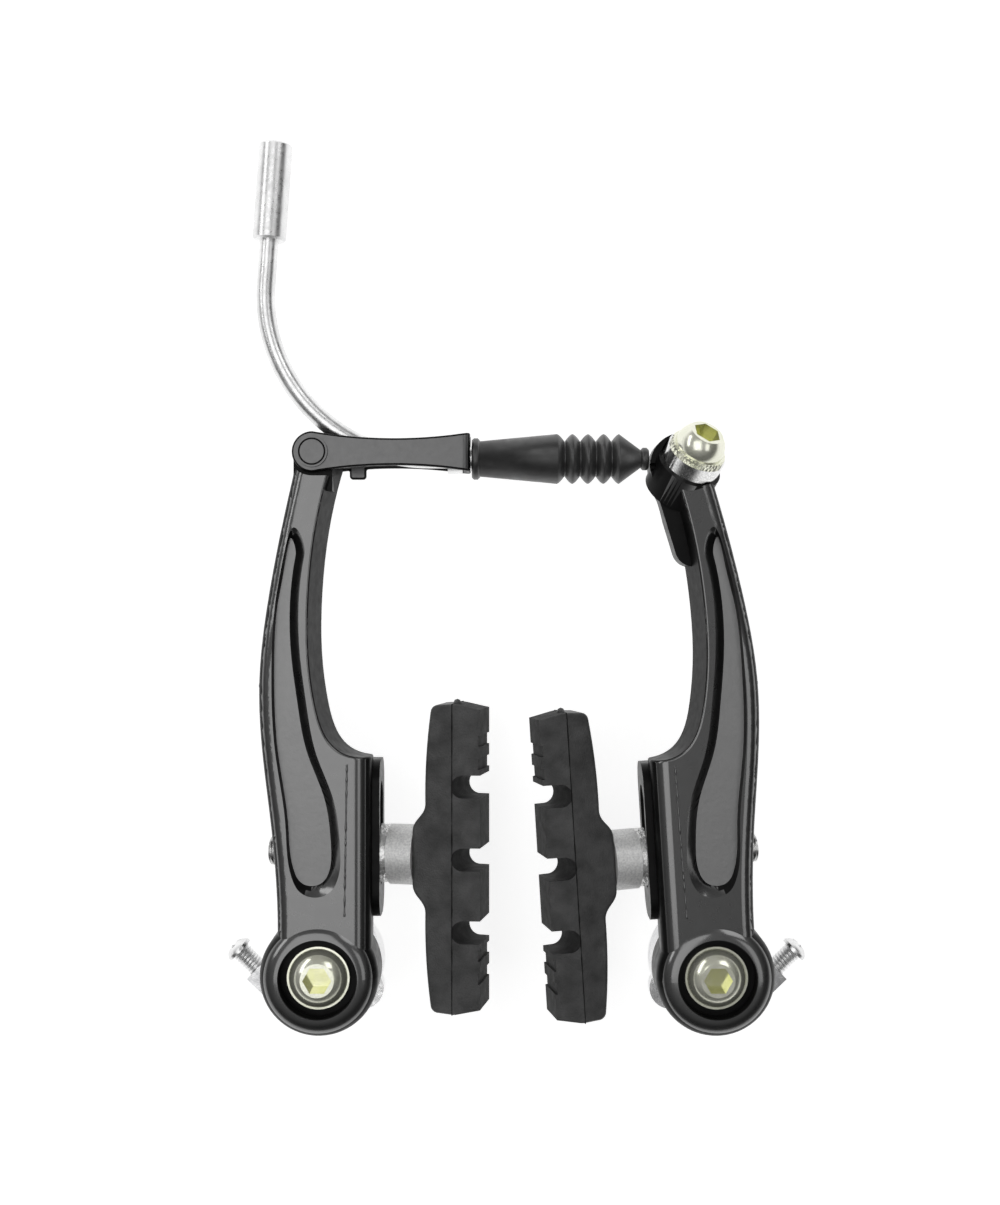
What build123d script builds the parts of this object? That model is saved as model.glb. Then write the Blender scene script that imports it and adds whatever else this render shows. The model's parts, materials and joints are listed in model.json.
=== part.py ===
from build123d import *
import os
from math import cos, radians, sin, sqrt

# A linear-pull rim brake: two cast arms on their pivots, a bent cable guide in a link,
# a bellows boot, and two rubber pads on ball washers.
# Millimetres. X to the viewer's right, Y away from the viewer, Z up.
# Origin: midway between the two pivot axes, on the plane where the brake meets the frame.
# Each side is drawn in the left arm's own frame: pivot on the origin, x inward, z up.
# A depth called forward is counted from the mounting plane towards the viewer (-Y).

# Layout
PIVOT_SPACING = 80.0
RIGHT_LEAN = 3.5          # degrees the right arm leans towards the left one
RUNNING_GAP = 0.06        # radial play of a shaft in its hole
FACE_GAP = 0.1            # play between faces that slide past each other

# Pivot bush, bolt and boss
BUSH_R = 5.0
BUSH_BORE_R = 4.2
BUSH_LENGTH = 18.4
BOSS_R = 12.0
BOSS_BACK = 8.6
BOSS_FRONT = 21.6
BOSS_ROUND = 4.0
COUNTERBORE_R = 7.8
PIVOT_BOLT_R = 3.0
PIVOT_BOLT_REACH = 20.0   # length of the thread behind the head
PIVOT_FLANGE_R = 6.3
PIVOT_DOME_R = 5.9
PIVOT_DOME = 2.6
BOLT_FLANGE = 1.2
BOLT_RIM_R = 3.4
BOLT_BULGE = 0.5          # how far a dome swells past a straight cone
SOCKET_FLATS = 5.0
SOCKET_DEPTH = 3.2

# Arm casting
ARM_LENGTH = 105.6        # pivot to link pin
ARM_FRONT = 21.0
BLADE_THICKNESS = 7.5
TOP_DROP = 2.6            # link pin to the blade's flat top
WEB_TOP = 44.4            # where the lower arm steps in to the slim blade
FRONT_WALL = 3.7          # the wall left in front of the pad nut
WEB_X = 10.6              # inner face of the lower arm
WEB_ROUND = 3.4
FLANK_LEAN = 2.0          # how far the blade's inner side leans in
FLANK_ROUND = 0.5
OUTER_ROUND = 2.7
POCKET_DEPTH = 1.8
POCKET_DRAFT = 2.0        # how far the pocket's inner wall leans in
OUTER_DRAFT = 0.3         # the same for its outer wall
POCKET_LOW = 16.4         # lowest point of the pocket
POCKET_END_R = 4.7        # its round lower end

# Pad seat on the arm
PAD_Z = 23.8              # stud height at rest
PAD_FORWARD = 11.0
SEAT_X = 12.1             # face of the slotted boss
SEAT_WALL = 7.1           # thickness of the slotted wall
SEAT_HEIGHT = 32.2
SEAT_Z = 27.2             # middle of the boss
SEAT_BACK = 3.4
SEAT_ROUND = 5.0
SLOT_WIDTH = 7.8
SLOT_UP = 11.0            # stud travel above rest
SLOT_DOWN = 2.5           # stud travel below rest
NUT_ROOM = 2.2            # space above and below the washers' travel

# Ball washers and stud
BALL_R = 8.5
DOME_R = 6.0
DOME_HOLE_R = 4.65
CUP_R = 6.15
STUD_R = 3.0
INNER_CUP_RIM = 5.3
OUTER_CUP_RIM = 2.8
FLAT_WASHER = 1.0
NUT_FLATS = 10.0
NUT_HEIGHT = 5.0
STUD_SHOW = 5.0           # stud end left past the nut
PAD_TOE = 11.0            # degrees the pads are turned on their ball washers

# Rubber pad
PAD_LENGTH = 62.4
PAD_THICK = 11.5          # at the middle
PAD_END_THICK = 10.0
PAD_ARCH = 0.4            # how far the back swells past straight
PAD_DEPTH = 11.0          # across the mould seam
PAD_FACE_DEPTH = 9.4      # across the braking face
PAD_BACK_DEPTH = 9.8
PAD_ROUND = 0.7           # rounded edges round the back
HUB_HEIGHT = 2.5
HUB_R = 5.2
HUB_SPREAD = 6.0
PAD_CORNER = 1.6
SEAM_FROM_FACE = 5.6
END_SLOPE = 1.1
NOTCH_WIDTH = 4.6
NOTCH_DEPTH = 5.0
NOTCH_PITCH = 14.6
NOTCH_LEAN = 8.0          # degrees a notch deepens towards the front
RIB_DEPTH = 0.45
RIB_WIDTH = 2.3
RIB_PITCH = 4.6
BACKING_LENGTH = 46.0
BACKING_DEPTH = 6.0
BACKING_THICK = 1.8
BACKING_COVER = 2.6       # rubber between the backing and the back of the pad

# Link
LINK_REACH = 31.6         # pin to the outside of the end wall
LINK_SHEET = 1.5
LINK_HEAD_R = 4.1
LINK_WAIST = 5.4
LINK_END = 7.8
LINK_RECESS = 0.7         # room round the link in the arm
LINK_PIN_R = 2.5
RIVET_R = 3.1
RIVET_HEAD = 0.5
RIVET_DISC_R = 2.4
RIVET_GROOVE = 0.35
TONGUE_THICKNESS = 6.0
TONGUE_R = 3.9
PIN_X = -1.1              # pin offset from the pivot
CABLE_DROP = 1.1          # cable line below the pin
TAB_WIDTH = 3.4
TAB_DROP = 0.9
TAB_ROUND = 0.7
TAB_X = 7.4

# Cable guide
TUBE_R = 1.9
TUBE_BORE_R = 1.25
BEND_R = 33.0
BEND_ANGLE = 94.0
BEND_X = 22.0             # bend centre, inward of the left pivot
TUBE_RISE = 9.0           # straight run from the bend to the ferrule
LINER_R = 1.2
LINER_BORE_R = 0.85
FERRULE_R = 3.4
FERRULE_LENGTH = 19.6
FERRULE_CHAMFER = 0.4
FERRULE_GRIP = 6.0        # tube length held in the ferrule
HOUSING_R = 2.6
HOUSING_DEPTH = 10.0
NOZZLE_R = 2.5
NOZZLE_COLLAR_R = 3.0
NOZZLE_COLLAR = 3.0
NOZZLE_REACH = 6.0        # nose past the link's end wall
NOZZLE_TAPER = 1.0
NOZZLE_TIP_R = 2.1

# Bellows boot
BOOT_GAP = 0.3
BOOT_FLANGE_R = 4.2
BOOT_FLANGE = 1.6
BOOT_NECK_R = 3.6
BOOT_BODY_R = 5.05
BOOT_VALLEY_R = 3.8
BOOT_PITCH = 3.15
BOOT_RINGS = 4
BOOT_CONE = 4.4
BOOT_CONE_R = 1.8
BOOT_TIP_R = 2.3
BOOT_TIP = 1.6
BOOT_WALL = 1.0

# Cable anchor on the right arm
ANCHOR_X = -1.2
ANCHOR_DROP = 2.2         # link pin height to anchor height
ANCHOR_FORWARD = 17.0
ANCHOR_UP = 46.0          # degrees the bolt looks up from straight ahead
ANCHOR_OUT = 22.0         # degrees the bolt leans away from the boot
ANCHOR_BOLT_R = 2.95
ANCHOR_REACH = 9.0
ANCHOR_WASHER_R = 6.1
ANCHOR_WASHER = 3.6
ANCHOR_FLANGE_R = 5.5
ANCHOR_DOME_R = 5.1
ANCHOR_DOME = 3.8
ANCHOR_LAND_R = 6.7
ANCHOR_BOSS = 7.0
HOOD_X = 0.2
HOOD_R = 6.6
HOOD_NECK_R = 3.6
HOOD_LENGTH = 17.0
HOOD_BACK = 10.4
CABLE_R = 0.8

# Spring holder, return spring and tension screw
HOLDER_DISC = 2.4
HOLDER_WALL = 1.4
HOLDER_FRONT = 8.3
LUG_HALF = 2.7
LUG_FACE = 9.5            # how far out along the screw the lug reaches
SCREW_OFFSET = 11.0       # screw axis to pivot axis
SCREW_DIP = 44.0          # degrees the screw points down
SCREW_FORWARD = 4.3
SCREW_R = 1.85
SCREW_HEAD_R = 2.85
SCREW_HEAD = 2.0
SCREW_SHOW = 5.0          # thread between the head and the lug
RECESS_LENGTH = 3.4
RECESS_WIDTH = 0.8
RECESS_DEPTH = 1.1
EAR_R = 4.4
EAR_REACH = 9.6
EAR_ANGLE = -38.0
EAR_THICK = 3.6
FRAME_PIN_R = 1.4
FRAME_PIN = 4.0
SPRING_R = 8.5
SPRING_WIRE_R = 0.8
SPRING_PITCH = 1.75
SPRING_TURNS = 2.5
SPRING_CLEAR = 0.4        # room round the wire
LEG_WINDOW = 2.0          # half the width of the gap the spring leg leaves by
SPRING_KNEE = 40.0
SPRING_LEG = 60.0
SPRING_POST_R = 1.5
SPRING_POST = 2.4

# Values that follow from the sizes above
ARM_BACK = ARM_FRONT - BLADE_THICKNESS
BLADE_TOP = ARM_LENGTH - TOP_DROP
ANCHOR_Z = ARM_LENGTH - ANCHOR_DROP
SEAT_OUTER_X = SEAT_X - SEAT_WALL
BALL_X = SEAT_X - SEAT_WALL / 2
CUP_SPHERE_R = BALL_R + RUNNING_GAP
CUP_RIM = sqrt(CUP_SPHERE_R**2 - CUP_R**2)
INNER_CUP_FACE = CUP_RIM + INNER_CUP_RIM
OUTER_CUP_FACE = CUP_RIM + OUTER_CUP_RIM
HUB_FACE = INNER_CUP_FACE + FACE_GAP / 2
BRAKE_FACE = HUB_FACE + HUB_HEIGHT + PAD_THICK
STUD_END = OUTER_CUP_FACE + FLAT_WASHER + NUT_HEIGHT + STUD_SHOW
BACKING_X = HUB_FACE + HUB_HEIGHT + BACKING_COVER
LINK_FRONT = ARM_FRONT - FACE_GAP
TONGUE_FRONT = LINK_FRONT - LINK_SHEET - FACE_GAP
TONGUE_BACK = TONGUE_FRONT - TONGUE_THICKNESS
LINK_BACK = TONGUE_BACK - FACE_GAP - LINK_SHEET
CABLE_FORWARD = (LINK_FRONT + LINK_BACK) / 2
CABLE_Z = ARM_LENGTH - CABLE_DROP
WALL_X = PIN_X + LINK_REACH
SPRING_START = HOLDER_DISC + SPRING_WIRE_R + SPRING_CLEAR / 2
# The boot fills the way from the link's end wall to the right arm's head
HEAD_REACH = (HOOD_X + HOOD_R) * cos(radians(RIGHT_LEAN)) + ANCHOR_Z * sin(radians(RIGHT_LEAN))
BOOT_LENGTH = PIVOT_SPACING - HEAD_REACH - WALL_X - 2 * BOOT_GAP
BOOT_BODY = BOOT_LENGTH - BOOT_FLANGE - BOOT_RINGS * BOOT_PITCH - BOOT_CONE - BOOT_TIP


# Shape helpers
def slab(face, back, front):
    """Extrude a face drawn in x and z between two forward depths."""
    return extrude(Plane.XZ.offset(back) * face, amount=front - back)


def turned(*curves):
    """Revolve closed curves of (radius, height) about Z."""
    edges = [edge for curve in curves for edge in curve.edges()]
    return revolve(Plane.XZ * make_face(edges), Axis.Z)


def ring(outer, inner, low, high):
    """A plain tube along Z."""
    return turned(Polyline((inner, low), (outer, low), (outer, high), (inner, high), close=True))


def along(solid, origin, direction):
    """Stand a solid that is drawn along Z on a point, pointing along a direction."""
    return Plane(origin=origin, z_dir=direction).location * solid


def ahead(solid, x=0.0, forward=0.0, z=0.0):
    """Turn a solid that is drawn along Z to look forward from a point, with its y up."""
    return Plane(origin=(x, -forward, z), x_dir=(1, 0, 0), z_dir=(0, -1, 0)).location * solid


def rod(radius, start, end):
    """A round bar from one point to another."""
    path = Vector(*end) - Vector(*start)
    bar = Cylinder(radius, path.length, align=(Align.CENTER, Align.CENTER, Align.MIN))
    return along(bar, start, path)


def block(low, high):
    """A box between two corners."""
    size = [top - bottom for bottom, top in zip(low, high)]
    return Pos(*low) * Box(*size, align=(Align.MIN, Align.MIN, Align.MIN))


def polar(radius, angle):
    return radius * cos(radians(angle)), radius * sin(radians(angle))


def left(solid):
    return Pos(-PIVOT_SPACING / 2, 0, 0) * solid


def right(solid, lean=RIGHT_LEAN):
    """The mirror image of a left solid, leaned with the right arm."""
    return Pos(PIVOT_SPACING / 2, 0, 0) * Rot(0, -lean, 0) * mirror(solid, about=Plane.YZ)


# Pivot hardware
def dome_bolt(flange_r, dome_r, dome, shank_r, shank):
    """A domed socket bolt along Z: seat at height 0, shank below."""
    top = BOLT_FLANGE + dome
    shoulder = (dome_r, BOLT_FLANGE)
    rim = (BOLT_RIM_R, top)
    crown = ((dome_r + BOLT_RIM_R) / 2 + BOLT_BULGE, BOLT_FLANGE + dome / 2)
    bolt = turned(
        Polyline((0, top), (0, -shank), (shank_r, -shank), (shank_r, 0),
                 (flange_r, 0), (flange_r, BOLT_FLANGE), shoulder),
        ThreePointArc(shoulder, crown, rim),
        Line(rim, (0, top)),
    )
    hexagon = RegularPolygon(SOCKET_FLATS / 2, 6, major_radius=False)
    return bolt - Pos(0, 0, top - SOCKET_DEPTH) * extrude(hexagon, amount=SOCKET_DEPTH)


def pivot_bush():
    return ahead(ring(BUSH_R, BUSH_BORE_R, 0, BUSH_LENGTH))


def pivot_bolt():
    bolt = dome_bolt(PIVOT_FLANGE_R, PIVOT_DOME_R, PIVOT_DOME, PIVOT_BOLT_R, PIVOT_BOLT_REACH)
    return ahead(bolt, forward=BUSH_LENGTH)


# Spring holder, return spring and tension screw
def screw_point(distance):
    """A point on the tension screw's axis, counted outwards from where it passes the pivot."""
    dip = radians(SCREW_DIP)
    x = -SCREW_OFFSET * sin(dip) - distance * cos(dip)
    z = -SCREW_OFFSET * cos(dip) + distance * sin(dip)
    return x, -SCREW_FORWARD, z


def spring_holder():
    cavity_r = BOSS_R - HOLDER_WALL
    lug_x, _, lug_z = screw_point(LUG_FACE / 2)
    lug = Pos(lug_x, lug_z) * Rot(0, 0, -SCREW_DIP) * Rectangle(LUG_FACE, 2 * LUG_HALF)
    ear_x, ear_z = polar(EAR_REACH, EAR_ANGLE)
    holder = slab(Circle(BOSS_R), 0, HOLDER_FRONT)
    holder += slab(lug, SCREW_FORWARD - LUG_HALF, SCREW_FORWARD + LUG_HALF)
    holder += slab(Pos(ear_x, ear_z) * Circle(EAR_R), 0, EAR_THICK)
    holder -= slab(Circle(cavity_r), HOLDER_DISC, HOLDER_FRONT + 1)
    holder -= slab(Circle(BUSH_R), -1, HOLDER_FRONT)
    holder -= rod(SCREW_R + RUNNING_GAP, screw_point(LUG_FACE + 1), screw_point(0))
    holder -= block((-SPRING_R - LEG_WINDOW, -SPRING_START - SPRING_WIRE_R - SPRING_CLEAR, 0),
                    (-SPRING_R + LEG_WINDOW, -HOLDER_DISC, 2 * BOSS_R))
    return holder + rod(FRAME_PIN_R, (ear_x, -HOLDER_DISC / 2, ear_z), (ear_x, FRAME_PIN, ear_z))


def return_spring():
    coil = Helix(SPRING_PITCH, SPRING_PITCH * SPRING_TURNS, SPRING_R)
    wire = Plane(origin=coil @ 0, z_dir=coil % 0) * Circle(SPRING_WIRE_R)
    spring = ahead(Rot(0, 0, 180) * sweep(wire, path=coil, is_frenet=True), forward=SPRING_START)
    foot = (-SPRING_R, -SPRING_START, 0)
    knee = (-SPRING_R, -SPRING_START, SPRING_KNEE)
    tip = (-SPRING_R, SPRING_WIRE_R + SPRING_CLEAR - ARM_BACK, SPRING_LEG)
    spring += rod(SPRING_WIRE_R, foot, knee)
    spring += Pos(*knee) * Sphere(SPRING_WIRE_R)
    return spring + rod(SPRING_WIRE_R, knee, tip)


def tension_screw():
    coil_edge = SPRING_R + SPRING_WIRE_R + SPRING_CLEAR
    tip = sqrt(coil_edge**2 - (SCREW_OFFSET - SCREW_R) ** 2)
    seat = LUG_FACE + SCREW_SHOW
    rim = (SCREW_HEAD_R, SCREW_HEAD / 3)
    head = turned(
        Polyline((0, SCREW_HEAD), (0, 0), (SCREW_HEAD_R, 0), rim),
        ThreePointArc(rim, (SCREW_HEAD_R * 0.6, SCREW_HEAD * 0.85), (0, SCREW_HEAD)),
    )
    for turn in (0, 90):
        head -= Rot(0, 0, turn) * Pos(0, 0, SCREW_HEAD) * Box(RECESS_LENGTH, RECESS_WIDTH, 2 * RECESS_DEPTH)
    outward = Vector(*screw_point(1)) - Vector(*screw_point(0))
    return rod(SCREW_R, screw_point(tip), screw_point(seat)) + along(head, screw_point(seat), outward)


# Arm castings
def blade_height(part):
    """A height on the slim blade, as a part of the way from the web's top to the blade's top."""
    return WEB_TOP + part * (BLADE_TOP - WEB_TOP)


def blade_face(lean):
    """The arm's outline, from inside the boss to its flat top: lean is 0 at its back and 1 at its front."""
    outer_blade = [(-4.7, 1.0), (-7.2, 0.81), (-10.2, 0.54), (-12.0, 0.25), (-11.3, 0.0)]
    inner_blade = [(4.4, 0.05), (1.3, 0.19), (0.0, 0.39), (0.1, 0.54), (1.2, 0.74), (4.6, 1.0)]
    outer_points = [(x, blade_height(part)) for x, part in outer_blade]
    inner_points = [(x - FLANK_LEAN * lean, blade_height(part)) for x, part in inner_blade]
    outer = Spline(*outer_points, (-9.7, 31), (-8.5, 17), (-8.4, 4))
    foot = Polyline((-8.4, 4), (WEB_X, 4), (WEB_X, WEB_TOP))
    inner = Spline((WEB_X, WEB_TOP), *inner_points)
    top = Line(inner_points[-1], outer_points[0])
    return make_face([*outer.edges(), *foot.edges(), *inner.edges(), *top.edges()])


def pocket_face(lean):
    """The front recess: lean is 0 at the arm's face and 1 on the pocket's floor."""
    inner_blade = [(-2.6, 0.69), (-3.7, 0.54), (-3.5, 0.35), (-2.2, 0.18), (-0.2, 0.01)]
    outer_blade = [(-8.4, 0.01), (-9.2, 0.27), (-8.6, 0.51), (-6.8, 0.69)]
    shift_in = POCKET_DRAFT * lean
    shift_out = OUTER_DRAFT * lean
    radius = POCKET_END_R - (shift_in + shift_out) / 2
    middle = -0.5 - (shift_in - shift_out) / 2
    arc = [polar(radius, angle) for angle in (-10, -50, -90, -130, -170)]
    points = [(x - shift_in, blade_height(part)) for x, part in inner_blade]
    points += [(3.2 - shift_in, 36), (4.5 - shift_in, 27)]
    points += [(middle + x, POCKET_LOW + shift_in + radius + z) for x, z in arc]
    points += [(-6.4 + shift_out, 31)]
    points += [(x + shift_out, blade_height(part)) for x, part in outer_blade]
    points.append((-4.6 - shift_in / 2, blade_height(0.785) - shift_in))
    return make_face(Spline(*points, periodic=True).edges())


def pivot_boss():
    rim = (BOSS_R, BOSS_FRONT - BOSS_ROUND)
    face = (BOSS_R - BOSS_ROUND, BOSS_FRONT)
    middle = (BOSS_R - BOSS_ROUND * (1 - sqrt(0.5)), BOSS_FRONT - BOSS_ROUND * (1 - sqrt(0.5)))
    boss = turned(
        Polyline((0, BOSS_FRONT), (0, BOSS_BACK), (BOSS_R, BOSS_BACK), rim),
        ThreePointArc(rim, middle, face),
        Line(face, (0, BOSS_FRONT)),
    )
    return ahead(boss)


def pad_seat():
    depth = ARM_FRONT - FRONT_WALL - SEAT_BACK
    face = Pos(-SEAT_BACK - depth / 2, SEAT_Z) * RectangleRounded(depth, SEAT_HEIGHT, SEAT_ROUND)
    return extrude(Plane.YZ.offset(SEAT_OUTER_X) * face, amount=SEAT_WALL)


def slot_cut():
    travel = SLOT_UP + SLOT_DOWN
    middle = PAD_Z + (SLOT_UP - SLOT_DOWN) / 2
    face = Pos(-PAD_FORWARD, middle) * Rot(0, 0, 90) * SlotCenterToCenter(travel, SLOT_WIDTH)
    return extrude(Plane.YZ * face, amount=2 * SEAT_X)


def nut_room():
    """The open space behind the front wall for the outer washers and the nut."""
    low = PAD_Z - SLOT_DOWN - CUP_R - NUT_ROOM
    high = PAD_Z + SLOT_UP + CUP_R + NUT_ROOM
    return block((-3 * BOSS_R, FRONT_WALL - ARM_FRONT, low), (SEAT_OUTER_X, 0, high))


def arm_blank():
    """What both arms share: blade, pivot boss, slotted pad seat and spring post."""
    blade = loft([Plane.XZ.offset(ARM_BACK) * blade_face(0),
                  Plane.XZ.offset(ARM_FRONT) * blade_face(1)], ruled=True)
    front = blade.faces().sort_by(Axis.Y)[0].edges()
    blade = fillet(front.filter_by(Axis.Z), WEB_ROUND)
    front = blade.faces().sort_by(Axis.Y)[0].edges()
    outer = front.filter_by(GeomType.BSPLINE).sort_by(Axis.X)[0]
    blade = fillet(outer, OUTER_ROUND)
    front = blade.faces().sort_by(Axis.Y)[0].edges()
    inner = front.filter_by(GeomType.BSPLINE).sort_by(Axis.X)[-1]
    blade = fillet(inner, FLANK_ROUND)
    arm = blade + pivot_boss() + pad_seat()
    arm -= nut_room()
    arm -= slot_cut()
    arm -= loft([Plane.XZ.offset(ARM_FRONT) * pocket_face(0),
                 Plane.XZ.offset(ARM_FRONT - POCKET_DEPTH) * pocket_face(1)])
    arm -= slab(Circle(BUSH_R + RUNNING_GAP), 0, 2 * ARM_FRONT)
    arm -= slab(Circle(COUNTERBORE_R), BUSH_LENGTH - FACE_GAP, 2 * ARM_FRONT)
    post_x = -SPRING_R - SPRING_WIRE_R - SPRING_POST_R - SPRING_CLEAR
    post_z = SPRING_LEG - 2 * SPRING_WIRE_R
    post_root = (post_x, -ARM_BACK - 1, post_z)
    post_tip = (post_x, SPRING_POST - ARM_BACK, post_z)
    return arm + rod(SPRING_POST_R, post_root, post_tip)


def left_arm():
    """The arm that carries the link on a tongue."""
    pin = Pos(PIN_X, ARM_LENGTH)
    neck = Pos(PIN_X, ARM_LENGTH - TONGUE_R) * Rectangle(2 * TONGUE_R, 2 * TONGUE_R)
    room = LINK_HEAD_R + LINK_RECESS
    arm = arm_blank()
    arm -= slab(pin * Circle(room), TONGUE_FRONT, 2 * ARM_FRONT)
    arm -= block((PIN_X, -2 * ARM_FRONT, ARM_LENGTH - room), (2 * WEB_X, -TONGUE_FRONT, 2 * ARM_LENGTH))
    arm -= block((-WEB_X, -2 * ARM_FRONT, ARM_LENGTH), (2 * WEB_X, 0, 2 * ARM_LENGTH))
    arm += slab(pin * Circle(TONGUE_R) + neck, TONGUE_BACK, TONGUE_FRONT)
    return arm - slab(pin * Circle(LINK_PIN_R + RUNNING_GAP), 0, 2 * ARM_FRONT)


def anchor_axis():
    """The way the anchor bolt looks: forward, up and away from the boot."""
    up = radians(ANCHOR_UP)
    out = radians(ANCHOR_OUT)
    return Vector(-sin(out), -cos(out) * cos(up), cos(out) * sin(up))


def anchor_point(height):
    return tuple(Vector(ANCHOR_X, -ANCHOR_FORWARD, ANCHOR_Z) + anchor_axis() * height)


def right_arm():
    """The arm that clamps the cable, drawn as a left one."""
    top = Pos(HOOD_X, ANCHOR_Z) * Circle(HOOD_R)
    neck = Pos(HOOD_X - 1, ANCHOR_Z - HOOD_LENGTH) * Circle(HOOD_NECK_R)
    head = make_hull(top.edges() + neck.edges())
    room = ANCHOR_WASHER_R + LINK_RECESS / 2
    arm = arm_blank()
    arm += slab(head, HOOD_BACK, ANCHOR_FORWARD)
    arm += rod(ANCHOR_LAND_R, anchor_point(-ANCHOR_BOSS), anchor_point(0))
    arm -= rod(room, anchor_point(0), anchor_point(3 * ANCHOR_BOSS))
    arm -= rod(ANCHOR_BOLT_R, anchor_point(-2 * ANCHOR_BOSS), anchor_point(0))
    groove = Vector(*anchor_point(0))
    return arm - rod(CABLE_R, groove - Vector(HOOD_R * 2, 0, 0), groove + Vector(HOOD_R * 2, 0, 0))


def anchor_washer():
    washer = ring(ANCHOR_WASHER_R, ANCHOR_BOLT_R, 0, ANCHOR_WASHER)
    return along(washer, anchor_point(0), anchor_axis())


def anchor_bolt():
    reach = ANCHOR_REACH + ANCHOR_WASHER
    bolt = dome_bolt(ANCHOR_FLANGE_R, ANCHOR_DOME_R, ANCHOR_DOME, ANCHOR_BOLT_R, reach)
    return along(bolt, anchor_point(ANCHOR_WASHER), anchor_axis())


# Link and cable guide
def link_face():
    half_waist = LINK_WAIST / 2
    half_end = LINK_END / 2
    middle = LINK_REACH / 2
    head = ThreePointArc((0, LINK_HEAD_R), (-LINK_HEAD_R, 0), (0, -LINK_HEAD_R))
    lower = ThreePointArc((0, -LINK_HEAD_R), (middle, -half_waist), (LINK_REACH, -half_end))
    end = Line((LINK_REACH, -half_end), (LINK_REACH, half_end))
    upper = ThreePointArc((LINK_REACH, half_end), (middle, half_waist), (0, LINK_HEAD_R))
    return Pos(PIN_X, ARM_LENGTH) * make_face([*head.edges(), *lower.edges(), *end.edges(), *upper.edges()])


def noodle_link():
    """A folded sheet: two side plates joined by an end wall with an open-topped seat for the guide."""
    wall_low = ARM_LENGTH - LINK_END
    inside = WALL_X - LINK_SHEET
    link = slab(link_face(), LINK_BACK, LINK_FRONT)
    folds = link.edges().filter_by(Axis.Z).sort_by(Axis.X)[-2:]
    link = fillet(folds, LINK_SHEET)
    link -= block((-2 * LINK_REACH, LINK_SHEET - LINK_FRONT, wall_low),
                  (inside, -LINK_BACK - LINK_SHEET, 2 * ARM_LENGTH))
    seat = NOZZLE_R + RUNNING_GAP
    link -= rod(seat, (inside - 1, -CABLE_FORWARD, CABLE_Z), (WALL_X + 1, -CABLE_FORWARD, CABLE_Z))
    way = TUBE_R + RUNNING_GAP * 2
    link -= block((inside - 1, -CABLE_FORWARD - way, CABLE_Z),
                  (WALL_X + 1, way - CABLE_FORWARD, 2 * ARM_LENGTH))
    tab = RectangleRounded(TAB_WIDTH, 2 * LINK_SHEET, TAB_ROUND)
    tab_z = ARM_LENGTH - LINK_HEAD_R - TAB_DROP + LINK_SHEET
    link += slab(Pos(TAB_X, tab_z) * tab, LINK_BACK, LINK_BACK + LINK_SHEET)
    return link - slab(Pos(PIN_X, ARM_LENGTH) * Circle(LINK_PIN_R), 0, 2 * ARM_FRONT)


def link_rivet():
    back = LINK_BACK - RIVET_HEAD
    front = LINK_FRONT + RIVET_HEAD
    pin = turned(Polyline((0, back), (RIVET_R, back), (RIVET_R, LINK_BACK), (LINK_PIN_R, LINK_BACK),
                          (LINK_PIN_R, LINK_FRONT), (RIVET_R, LINK_FRONT), (RIVET_R, front), (0, front),
                          close=True))
    pin -= ring(RIVET_DISC_R + RIVET_GROOVE, RIVET_DISC_R, front - RIVET_GROOVE, front)
    return ahead(pin, PIN_X, 0, ARM_LENGTH)


def guide_path(start_x, rise):
    """The guide's line in x and z: along the cable, round the bend and up."""
    bend = CenterArc((BEND_X, CABLE_Z + BEND_R), BEND_R, 270, -BEND_ANGLE)
    top = bend @ 1
    way = bend % 1
    path = [*Line((start_x, CABLE_Z), bend @ 0).edges(), *bend.edges()]
    return path + [*Line(top, top + way * rise).edges()]


def guide_tube(outer, bore, start_x, rise):
    path = Wire([Plane.XZ.offset(CABLE_FORWARD) * edge for edge in guide_path(start_x, rise)])
    section = Plane(origin=path @ 0, z_dir=path % 0) * (Circle(outer) - Circle(bore))
    return sweep(section, path=path)


def noodle_tube():
    return guide_tube(TUBE_R, TUBE_BORE_R, WALL_X + NOZZLE_REACH - LINK_SHEET, TUBE_RISE + FERRULE_GRIP)


def noodle_liner():
    return guide_tube(LINER_R, LINER_BORE_R, WALL_X + NOZZLE_REACH + LINK_SHEET, TUBE_RISE + FERRULE_GRIP)


def noodle_ferrule():
    way = guide_path(WALL_X, TUBE_RISE)[-1]
    rim = FERRULE_R - FERRULE_CHAMFER
    socket = FERRULE_LENGTH - HOUSING_DEPTH
    outside = [(TUBE_R, 0), (rim, 0), (FERRULE_R, FERRULE_CHAMFER),
               (FERRULE_R, FERRULE_LENGTH - FERRULE_CHAMFER), (rim, FERRULE_LENGTH)]
    inside = [(HOUSING_R, FERRULE_LENGTH), (HOUSING_R, socket), (LINER_R, socket),
              (LINER_R, FERRULE_GRIP), (TUBE_R, FERRULE_GRIP)]
    ferrule = turned(Polyline(*outside, *inside, close=True))
    foot = way @ 1
    tilt = way % 1
    return along(ferrule, (foot.X, -CABLE_FORWARD, foot.Y), (tilt.X, 0, tilt.Y))


def noodle_nozzle():
    """A nose on the tube: a collar inside the link's wall and a tapered tip outside it."""
    collar = WALL_X - LINK_SHEET - FACE_GAP / 2
    tip = NOZZLE_REACH + LINK_SHEET
    outside = [(NOZZLE_COLLAR_R, -NOZZLE_COLLAR), (NOZZLE_COLLAR_R, 0), (NOZZLE_R, 0),
               (NOZZLE_R, tip - NOZZLE_TAPER), (NOZZLE_TIP_R, tip)]
    nose = turned(Polyline((TUBE_R, -NOZZLE_COLLAR), *outside, (TUBE_R, tip), close=True))
    return along(nose, (collar, -CABLE_FORWARD, CABLE_Z), (1, 0, 0))


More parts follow.
